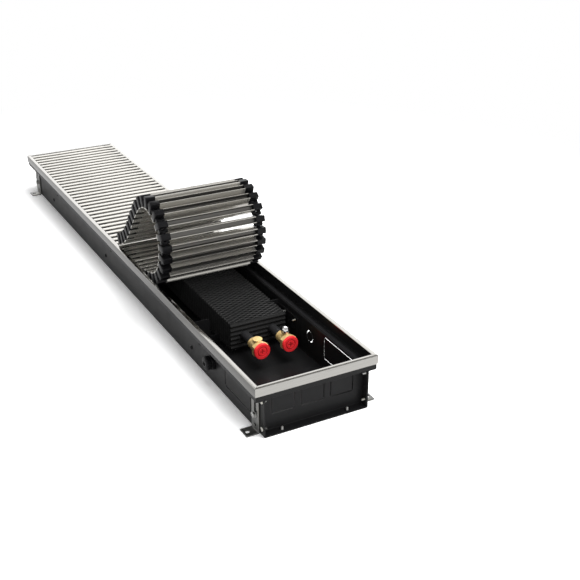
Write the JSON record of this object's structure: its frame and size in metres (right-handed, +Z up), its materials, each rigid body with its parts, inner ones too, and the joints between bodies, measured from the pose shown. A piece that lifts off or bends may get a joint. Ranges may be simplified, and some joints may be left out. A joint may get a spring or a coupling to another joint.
{
  "type": "trench convector heater",
  "caption": "Floor trough with a finned water heat exchanger, bright edge frame, levelling feet and a roll-up slatted grille that is partly rolled back over the connection end.",
  "frame": {"origin": "middle of the trough on the floor that it stands on", "axes": "+Y along the trough from its connection end to its rear end, +X across it, +Z up"},
  "size_m": [0.2132, 1.15, 0.2267],
  "materials": {
    "casing_black": "satin black powder coat",
    "frame_aluminium": "natural anodised",
    "zinc_steel": "bright zinc plated",
    "fin_black": "black coated",
    "tube_black": "black coated copper",
    "tube_copper": "bare copper",
    "bracket_black": "satin black powder coat",
    "fitting_brass": "plain machined brass",
    "cap_red": "red polyethylene",
    "vent_chrome": "nickel plated",
    "gland_black": "black polyamide",
    "rubber_black": "matt",
    "slat_aluminium": "natural anodised",
    "link_black": "black polyamide"
  },
  "bodies": {
    "root": {"trough_casing": "casing_black", "front_end_plate": "casing_black", "rear_end_plate": "casing_black", "frame_left": "frame_aluminium", "frame_right": "frame_aluminium", "frame_front": "frame_aluminium", "frame_rear": "frame_aluminium", "foot_fasteners": "zinc_steel", "end_plate_screws": "zinc_steel", "exchanger_fins": "fin_black", "exchanger_front_plate": "fin_black", "exchanger_rear_plate": "fin_black", "supply_tube": "tube_black", "return_tube": "tube_black", "return_bend": "tube_copper", "exchanger_brackets": "bracket_black", "bracket_screws": "zinc_steel", "supply_fitting": "fitting_brass", "return_fitting": "fitting_brass", "gland_body": "gland_black", "gland_lock_nut": "gland_black", "rubber_strips": "rubber_black"},
    "grille": {"grille_slats_flat": "slat_aluminium", "grille_links_flat": "link_black"},
    "front_left_foot": {"front_left_foot": "zinc_steel"},
    "front_right_foot": {"front_right_foot": "zinc_steel"},
    "rear_left_foot": {"rear_left_foot": "zinc_steel"},
    "rear_right_foot": {"rear_right_foot": "zinc_steel"},
    "supply_cap": {"supply_cap": "cap_red"},
    "return_cap": {"return_cap": "cap_red"},
    "drain_plug": {"drain_plug": "fitting_brass"},
    "air_vent_knob": {"air_vent_knob": "vent_chrome"},
    "gland_cap_nut": {"gland_cap_nut": "gland_black"},
    "roll_slat_01": {"roll_slat_01": "slat_aluminium"},
    "roll_slat_02": {"roll_slat_02": "slat_aluminium"},
    "roll_slat_03": {"roll_slat_03": "slat_aluminium"},
    "roll_slat_04": {"roll_slat_04": "slat_aluminium"},
    "roll_slat_05": {"roll_slat_05": "slat_aluminium"},
    "roll_slat_06": {"roll_slat_06": "slat_aluminium"},
    "roll_slat_07": {"roll_slat_07": "slat_aluminium"},
    "roll_slat_08": {"roll_slat_08": "slat_aluminium"},
    "roll_slat_09": {"roll_slat_09": "slat_aluminium"},
    "roll_slat_10": {"roll_slat_10": "slat_aluminium"},
    "roll_slat_11": {"roll_slat_11": "slat_aluminium"},
    "roll_slat_12": {"roll_slat_12": "slat_aluminium"},
    "roll_slat_13": {"roll_slat_13": "slat_aluminium"},
    "roll_slat_14": {"roll_slat_14": "slat_aluminium"},
    "roll_slat_15": {"roll_slat_15": "slat_aluminium"},
    "roll_slat_16": {"roll_slat_16": "slat_aluminium"},
    "roll_slat_17": {"roll_slat_17": "slat_aluminium"},
    "roll_slat_18": {"roll_slat_18": "slat_aluminium"},
    "roll_slat_19": {"roll_slat_19": "slat_aluminium"},
    "roll_slat_20": {"roll_slat_20": "slat_aluminium"},
    "roll_slat_21": {"roll_slat_21": "slat_aluminium"},
    "roll_slat_22": {"roll_slat_22": "slat_aluminium"},
    "roll_slat_23": {"roll_slat_23": "slat_aluminium"},
    "roll_slat_24": {"roll_slat_24": "slat_aluminium"},
    "roll_slat_25": {"roll_slat_25": "slat_aluminium"},
    "roll_slat_26": {"roll_slat_26": "slat_aluminium"}
  },
  "joints": [
    {"name": "grille_lift", "type": "slide", "parent": "root", "child": "grille", "axis": [0, 0, 1], "range_m": [0, 0.12]},
    {"name": "roll_hinge_01", "type": "hinge", "parent": "grille", "child": "roll_slat_01", "pos_m": [0, -0.099, 0.076], "axis": [1, 0, 0], "range_deg": [-0.5, 3.5]},
    {"name": "roll_hinge_02", "type": "hinge", "parent": "roll_slat_01", "child": "roll_slat_02", "pos_m": [0, -0.11697, 0.07694], "axis": [1, 0, 0], "range_deg": [-0.5, 3.5]},
    {"name": "roll_hinge_03", "type": "hinge", "parent": "roll_slat_02", "child": "roll_slat_03", "pos_m": [0, -0.13488, 0.07882], "axis": [1, 0, 0], "range_deg": [-0.5, 3.5]},
    {"name": "roll_hinge_04", "type": "hinge", "parent": "roll_slat_03", "child": "roll_slat_04", "pos_m": [0, -0.15266, 0.08164], "axis": [1, 0, 0], "range_deg": [-0.5, 3.5]},
    {"name": "roll_hinge_05", "type": "hinge", "parent": "roll_slat_04", "child": "roll_slat_05", "pos_m": [0, -0.17026, 0.08538], "axis": [1, 0, 0], "range_deg": [-0.5, 6.5]},
    {"name": "roll_hinge_06", "type": "hinge", "parent": "roll_slat_05", "child": "roll_slat_06", "pos_m": [0, -0.18738, 0.09094], "axis": [1, 0, 0], "range_deg": [0, 16]},
    {"name": "roll_hinge_07", "type": "hinge", "parent": "roll_slat_06", "child": "roll_slat_07", "pos_m": [0, -0.2023, 0.10101], "axis": [1, 0, 0], "range_deg": [-0.5, 16.5]},
    {"name": "roll_hinge_08", "type": "hinge", "parent": "roll_slat_07", "child": "roll_slat_08", "pos_m": [0, -0.21387, 0.1148], "axis": [1, 0, 0], "range_deg": [-0.5, 16.5]},
    {"name": "roll_hinge_09", "type": "hinge", "parent": "roll_slat_08", "child": "roll_slat_09", "pos_m": [0, -0.2212, 0.13124], "axis": [1, 0, 0], "range_deg": [-0.5, 14.5]},
    {"name": "roll_hinge_10", "type": "hinge", "parent": "roll_slat_09", "child": "roll_slat_10", "pos_m": [0, -0.22432, 0.14897], "axis": [1, 0, 0], "range_deg": [-0.5, 14.5]},
    {"name": "roll_hinge_11", "type": "hinge", "parent": "roll_slat_10", "child": "roll_slat_11", "pos_m": [0, -0.22307, 0.16692], "axis": [1, 0, 0], "range_deg": [-0.5, 14.5]},
    {"name": "roll_hinge_12", "type": "hinge", "parent": "roll_slat_11", "child": "roll_slat_12", "pos_m": [0, -0.2175, 0.18404], "axis": [1, 0, 0], "range_deg": [-0.5, 18.5]},
    {"name": "roll_hinge_13", "type": "hinge", "parent": "roll_slat_12", "child": "roll_slat_13", "pos_m": [0, -0.20692, 0.19861], "axis": [1, 0, 0], "range_deg": [-0.5, 18.5]},
    {"name": "roll_hinge_14", "type": "hinge", "parent": "roll_slat_13", "child": "roll_slat_14", "pos_m": [0, -0.19236, 0.20919], "axis": [1, 0, 0], "range_deg": [-0.5, 18.5]},
    {"name": "roll_hinge_15", "type": "hinge", "parent": "roll_slat_14", "child": "roll_slat_15", "pos_m": [0, -0.17524, 0.21475], "axis": [1, 0, 0], "range_deg": [-0.5, 18.5]},
    {"name": "roll_hinge_16", "type": "hinge", "parent": "roll_slat_15", "child": "roll_slat_16", "pos_m": [0, -0.15724, 0.21475], "axis": [1, 0, 0], "range_deg": [0, 18]},
    {"name": "roll_hinge_17", "type": "hinge", "parent": "roll_slat_16", "child": "roll_slat_17", "pos_m": [0, -0.14012, 0.20919], "axis": [1, 0, 0], "range_deg": [-0.5, 13.99]},
    {"name": "roll_hinge_18", "type": "hinge", "parent": "roll_slat_17", "child": "roll_slat_18", "pos_m": [0, -0.12477, 0.19978], "axis": [1, 0, 0], "range_deg": [-0.5, 13.99]},
    {"name": "roll_hinge_19", "type": "hinge", "parent": "roll_slat_18", "child": "roll_slat_19", "pos_m": [0, -0.11204, 0.18706], "axis": [1, 0, 0], "range_deg": [-0.5, 3.5]},
    {"name": "roll_hinge_20", "type": "hinge", "parent": "roll_slat_19", "child": "roll_slat_20", "pos_m": [0, -0.1, 0.17368], "axis": [1, 0, 0], "range_deg": [-0.5, 2.5]},
    {"name": "roll_hinge_21", "type": "hinge", "parent": "roll_slat_20", "child": "roll_slat_21", "pos_m": [0, -0.08842, 0.1599], "axis": [1, 0, 0], "range_deg": [-0.5, 2.5]},
    {"name": "roll_hinge_22", "type": "hinge", "parent": "roll_slat_21", "child": "roll_slat_22", "pos_m": [0, -0.07734, 0.14572], "axis": [1, 0, 0], "range_deg": [-2.5, 0.5]},
    {"name": "roll_hinge_23", "type": "hinge", "parent": "roll_slat_22", "child": "roll_slat_23", "pos_m": [0, -0.06577, 0.13193], "axis": [1, 0, 0], "range_deg": [-4.5, 0.5]},
    {"name": "roll_hinge_24", "type": "hinge", "parent": "roll_slat_23", "child": "roll_slat_24", "pos_m": [0, -0.05326, 0.11898], "axis": [1, 0, 0], "range_deg": [-8.5, 0.5]},
    {"name": "roll_hinge_25", "type": "hinge", "parent": "roll_slat_24", "child": "roll_slat_25", "pos_m": [0, -0.03907, 0.1079], "axis": [1, 0, 0], "range_deg": [-9.5, 0.5]},
    {"name": "roll_hinge_26", "type": "hinge", "parent": "roll_slat_25", "child": "roll_slat_26", "pos_m": [0, -0.02333, 0.09918], "axis": [1, 0, 0], "range_deg": [-7.5, 0.5]},
    {"name": "front_left_foot_slide", "type": "slide", "parent": "root", "child": "front_left_foot", "axis": [0, 0, -1], "range_m": [0, 0.03]},
    {"name": "front_right_foot_slide", "type": "slide", "parent": "root", "child": "front_right_foot", "axis": [0, 0, -1], "range_m": [0, 0.03]},
    {"name": "rear_left_foot_slide", "type": "slide", "parent": "root", "child": "rear_left_foot", "axis": [0, 0, -1], "range_m": [0, 0.03]},
    {"name": "rear_right_foot_slide", "type": "slide", "parent": "root", "child": "rear_right_foot", "axis": [0, 0, -1], "range_m": [0, 0.03]},
    {"name": "supply_cap_pull", "type": "slide", "parent": "root", "child": "supply_cap", "axis": [0, -1, 0], "range_m": [0, 0.025]},
    {"name": "return_cap_pull", "type": "slide", "parent": "root", "child": "return_cap", "axis": [0, -1, 0], "range_m": [0, 0.025]},
    {"name": "drain_plug_turn", "type": "hinge", "parent": "root", "child": "drain_plug", "pos_m": [-0.0014, -0.3861, 0.0471], "axis": [0, 0, 1], "continuous": true},
    {"name": "air_vent_turn", "type": "hinge", "parent": "root", "child": "air_vent_knob", "pos_m": [0.0486, -0.3861, 0.0511], "axis": [0, 0, 1], "range_deg": [0, 360]},
    {"name": "gland_nut_turn", "type": "hinge", "parent": "root", "child": "gland_cap_nut", "pos_m": [-0.095, -0.401, 0.037], "axis": [-1, 0, 0], "continuous": true}
  ],
  "couplings": [
    {"joint": "roll_hinge_01", "follows": "roll_hinge_06", "ratio": 0.1875},
    {"joint": "roll_hinge_02", "follows": "roll_hinge_06", "ratio": 0.1875},
    {"joint": "roll_hinge_03", "follows": "roll_hinge_06", "ratio": 0.1875},
    {"joint": "roll_hinge_04", "follows": "roll_hinge_06", "ratio": 0.1875},
    {"joint": "roll_hinge_05", "follows": "roll_hinge_06", "ratio": 0.375},
    {"joint": "roll_hinge_07", "follows": "roll_hinge_06", "ratio": 1},
    {"joint": "roll_hinge_08", "follows": "roll_hinge_06", "ratio": 1},
    {"joint": "roll_hinge_09", "follows": "roll_hinge_06", "ratio": 0.875},
    {"joint": "roll_hinge_10", "follows": "roll_hinge_06", "ratio": 0.875},
    {"joint": "roll_hinge_11", "follows": "roll_hinge_06", "ratio": 0.875},
    {"joint": "roll_hinge_12", "follows": "roll_hinge_16", "ratio": 1},
    {"joint": "roll_hinge_13", "follows": "roll_hinge_16", "ratio": 1},
    {"joint": "roll_hinge_14", "follows": "roll_hinge_16", "ratio": 1},
    {"joint": "roll_hinge_15", "follows": "roll_hinge_16", "ratio": 1},
    {"joint": "roll_hinge_17", "follows": "roll_hinge_16", "ratio": 0.74967},
    {"joint": "roll_hinge_18", "follows": "roll_hinge_16", "ratio": 0.74967},
    {"joint": "roll_hinge_19", "follows": "roll_hinge_16", "ratio": 0.16667},
    {"joint": "roll_hinge_20", "follows": "roll_hinge_16", "ratio": 0.11111},
    {"joint": "roll_hinge_21", "follows": "roll_hinge_16", "ratio": 0.11111},
    {"joint": "roll_hinge_22", "follows": "roll_hinge_16", "ratio": -0.11111},
    {"joint": "roll_hinge_23", "follows": "roll_hinge_16", "ratio": -0.22222},
    {"joint": "roll_hinge_24", "follows": "roll_hinge_16", "ratio": -0.44444},
    {"joint": "roll_hinge_25", "follows": "roll_hinge_16", "ratio": -0.5},
    {"joint": "roll_hinge_26", "follows": "roll_hinge_16", "ratio": -0.38889}
  ]
}
